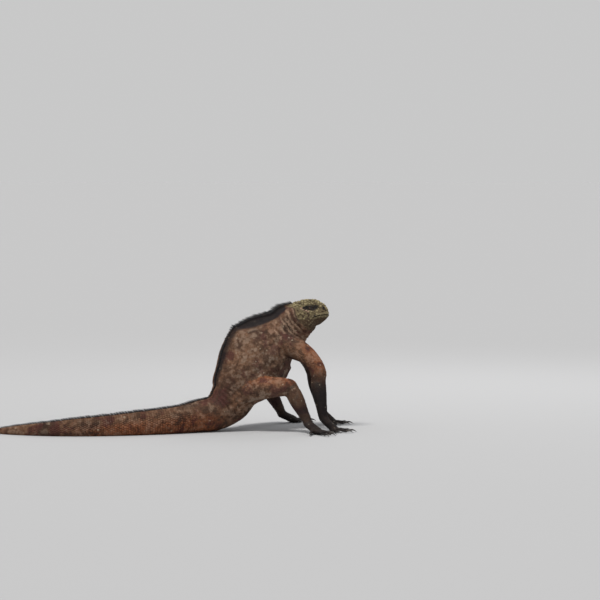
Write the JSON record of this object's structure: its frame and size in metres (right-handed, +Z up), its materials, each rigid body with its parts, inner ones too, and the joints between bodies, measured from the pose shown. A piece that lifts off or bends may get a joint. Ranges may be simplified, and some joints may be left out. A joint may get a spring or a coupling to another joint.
{
  "type": "marine iguana figure",
  "caption": "Life-size marine iguana at rest, chest raised on its forelegs, head level, with a spiny crest and a long flat tail laid behind it.",
  "frame": {"origin": "on the floor, at the centre of the animal's plan", "axes": "+X towards the snout, +Y towards the animal's left, +Z up"},
  "size_m": [0.7949, 0.3785, 0.2886],
  "materials": {
    "hide": "dry scaly hide, brown with grey and dark maroon blotches",
    "head_hide": "dry scaly hide, olive grey with pale conical scales",
    "limb_hide": "dry scaly hide, rusty brown going to dark grey at the feet",
    "crest": "blue-black horny spines, matt",
    "claw": "dark horn, slightly glossy",
    "eye": "wet dark brown eye"
  },
  "bodies": {
    "root": {"head": "head_hide", "neck": "hide", "torso": "hide", "tail_base": "hide", "tail_middle": "hide", "tail_tip": "hide", "right_eye": "eye", "left_eye": "eye", "right_upper_arm": "limb_hide", "right_forearm": "limb_hide", "right_hand": "limb_hide", "left_upper_arm": "limb_hide", "left_forearm": "limb_hide", "left_hand": "limb_hide", "right_thigh": "limb_hide", "right_shin": "limb_hide", "right_foot": "limb_hide", "left_thigh": "limb_hide", "left_shin": "limb_hide", "left_foot": "limb_hide"}
  },
  "joints": []
}
